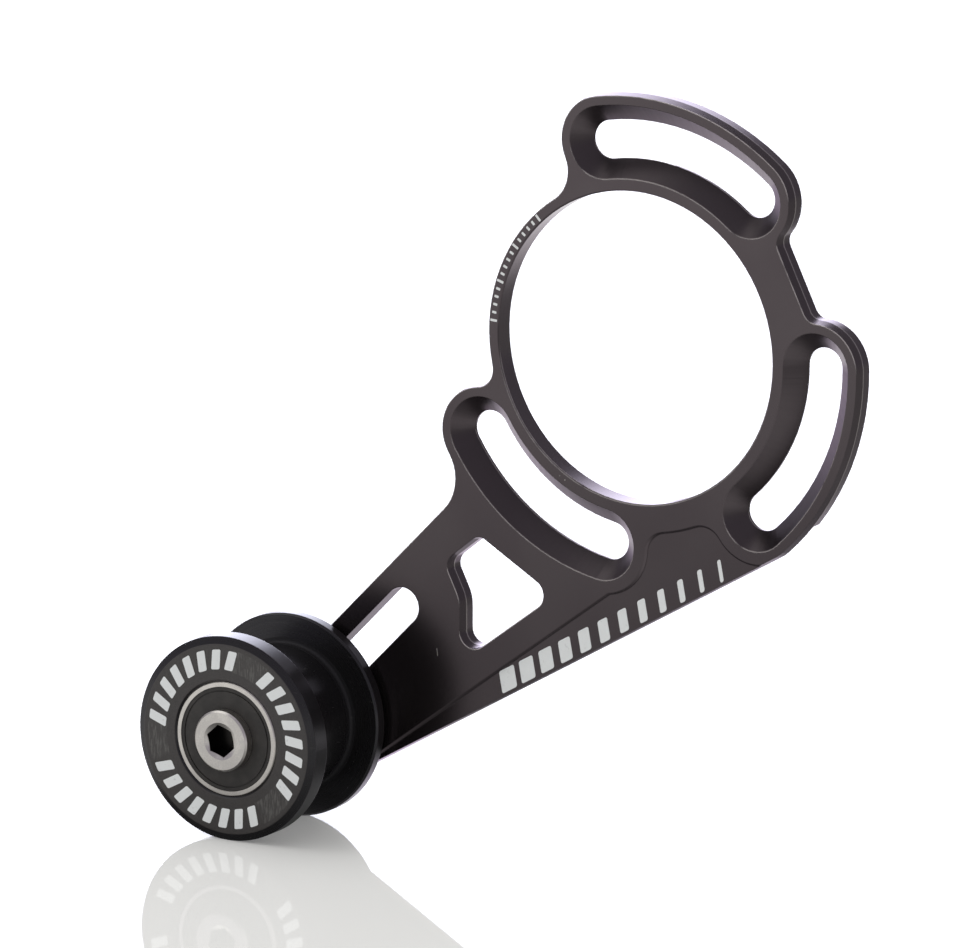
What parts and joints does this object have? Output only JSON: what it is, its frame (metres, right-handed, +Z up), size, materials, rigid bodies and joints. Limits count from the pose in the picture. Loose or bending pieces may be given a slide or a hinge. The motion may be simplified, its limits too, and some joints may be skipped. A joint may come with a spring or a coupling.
{
  "type": "bicycle chain guide",
  "caption": "Flat plate with a large round bore and countersunk arc slots, whose slanted arm carries a flanged chain roller on ball bearings that slides along a slot.",
  "frame": {"origin": "centre of the large bore, on the bottom bracket axis, at the plate's rear face, which lies on the frame's tabs", "axes": "+Y along the bore axis towards the bicycle frame, -Y to the drive side where the roller stands, +X forward, +Z up"},
  "size_m": [0.102, 0.0303, 0.1058],
  "materials": {
    "plate_anodised": "satin black anodised",
    "roller_polymer": "turned, matte",
    "spacer_aluminium": "turned, plain",
    "bolt_steel": "satin",
    "zinc_steel": "bright zinc plated",
    "insert_nylon": "natural nylon",
    "race_steel": "ground, satin",
    "ball_steel": "polished",
    "cage_nylon": "moulded nylon",
    "seal_rubber": "smooth moulded rubber"
  },
  "bodies": {
    "backplate": {"backplate": "plate_anodised"},
    "carriage": {"roller_bolt": "bolt_steel", "bearing_sleeve": "spacer_aluminium", "rear_collar": "spacer_aluminium", "front_inner_race": "race_steel", "rear_inner_race": "race_steel", "rear_washer": "zinc_steel", "lock_nut": "zinc_steel", "nut_insert": "insert_nylon"},
    "roller": {"roller": "roller_polymer", "front_outer_race": "race_steel", "front_outboard_seal": "seal_rubber", "front_inboard_seal": "seal_rubber", "rear_outer_race": "race_steel", "rear_outboard_seal": "seal_rubber", "rear_inboard_seal": "seal_rubber"},
    "front_ball_set": {"front_balls": "ball_steel", "front_cage": "cage_nylon"},
    "rear_ball_set": {"rear_balls": "ball_steel", "rear_cage": "cage_nylon"}
  },
  "joints": [
    {"name": "roller_adjust", "type": "slide", "parent": "backplate", "child": "carriage", "axis": [0.7009, 0, 0.7132], "range_m": [0, 0.0237]},
    {"name": "roller_spin", "type": "hinge", "parent": "carriage", "child": "roller", "pos_m": [-0.05329, -0.01289, -0.05704], "axis": [0, 1, 0], "continuous": true},
    {"name": "front_ball_orbit", "type": "hinge", "parent": "carriage", "child": "front_ball_set", "pos_m": [-0.05329, -0.01934, -0.05704], "axis": [0, 1, 0], "continuous": true},
    {"name": "rear_ball_orbit", "type": "hinge", "parent": "carriage", "child": "rear_ball_set", "pos_m": [-0.05329, -0.00644, -0.05704], "axis": [0, 1, 0], "continuous": true}
  ],
  "couplings": [
    {"joint": "front_ball_orbit", "follows": "roller_spin", "ratio": 0.61333},
    {"joint": "rear_ball_orbit", "follows": "roller_spin", "ratio": 0.61333}
  ]
}
